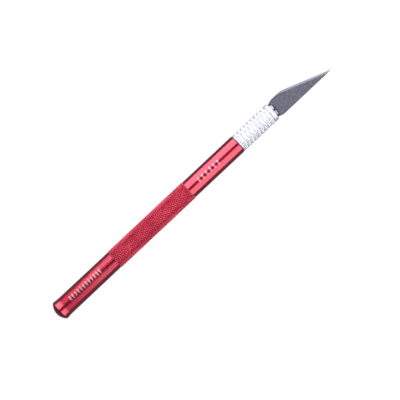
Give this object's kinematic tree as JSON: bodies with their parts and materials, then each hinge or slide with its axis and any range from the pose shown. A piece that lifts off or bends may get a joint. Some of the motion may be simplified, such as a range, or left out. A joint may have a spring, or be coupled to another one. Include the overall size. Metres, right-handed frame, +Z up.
{
  "type": "hobby craft knife",
  "caption": "Pen-shaped craft knife: knurled red aluminium handle, ringed bright collar over a screw-down collet, and a pointed steel blade with a ground bevel.",
  "frame": {"origin": "on the surface that the knife lies on, under the middle of its length and width", "axes": "+X along the knife towards the blade's tip, +Z up and square to the blade's flat side, +Y on the cutting edge's side"},
  "size_m": [0.143, 0.0082, 0.0083],
  "materials": {
    "red_anodised_aluminium": "red anodised, satin",
    "bright_aluminium": "bright turned",
    "turned_steel": "turned",
    "blade_steel": "ground carbon steel"
  },
  "bodies": {
    "barrel": {"barrel": "red_anodised_aluminium"},
    "collar": {"collar": "bright_aluminium"},
    "collet": {"collet_shank": "turned_steel"},
    "jaw_1": {"collet_jaw_1": "turned_steel"},
    "jaw_2": {"collet_jaw_2": "turned_steel"},
    "jaw_3": {"collet_jaw_3": "turned_steel"},
    "jaw_4": {"collet_jaw_4": "turned_steel"},
    "blade": {"blade": "blade_steel"}
  },
  "joints": [
    {"name": "collar_turn", "type": "hinge", "parent": "barrel", "child": "collar", "pos_m": [0.0252, 0, 0.00414], "axis": [1, 0, 0], "range_deg": [0, 720]},
    {"name": "collet_feed", "type": "slide", "parent": "collar", "child": "collet", "axis": [1, 0, 0], "range_m": [0, 0.00162]},
    {"name": "jaw_1_flex", "type": "hinge", "parent": "collet", "child": "jaw_1", "pos_m": [0.0285, 0.00141, 0.00555], "axis": [0, -0.7071, 0.7071], "range_deg": [0, 0.725]},
    {"name": "jaw_2_flex", "type": "hinge", "parent": "collet", "child": "jaw_2", "pos_m": [0.0285, -0.00141, 0.00555], "axis": [0, -0.7071, -0.7071], "range_deg": [0, 0.725]},
    {"name": "jaw_3_flex", "type": "hinge", "parent": "collet", "child": "jaw_3", "pos_m": [0.0285, -0.00141, 0.00272], "axis": [0, 0.7071, -0.7071], "range_deg": [0, 0.725]},
    {"name": "jaw_4_flex", "type": "hinge", "parent": "collet", "child": "jaw_4", "pos_m": [0.0285, 0.00141, 0.00272], "axis": [0, 0.7071, 0.7071], "range_deg": [0, 0.725]},
    {"name": "blade_draw", "type": "slide", "parent": "collet", "child": "blade", "axis": [1, 0, 0], "range_m": [0, 0.018]}
  ],
  "couplings": [
    {"joint": "collet_feed", "follows": "collar_turn", "m_per_rad": 0.00012732},
    {"joint": "jaw_1_flex", "follows": "collar_turn", "ratio": 0.001},
    {"joint": "jaw_2_flex", "follows": "collar_turn", "ratio": 0.001},
    {"joint": "jaw_3_flex", "follows": "collar_turn", "ratio": 0.001},
    {"joint": "jaw_4_flex", "follows": "collar_turn", "ratio": 0.001}
  ]
}
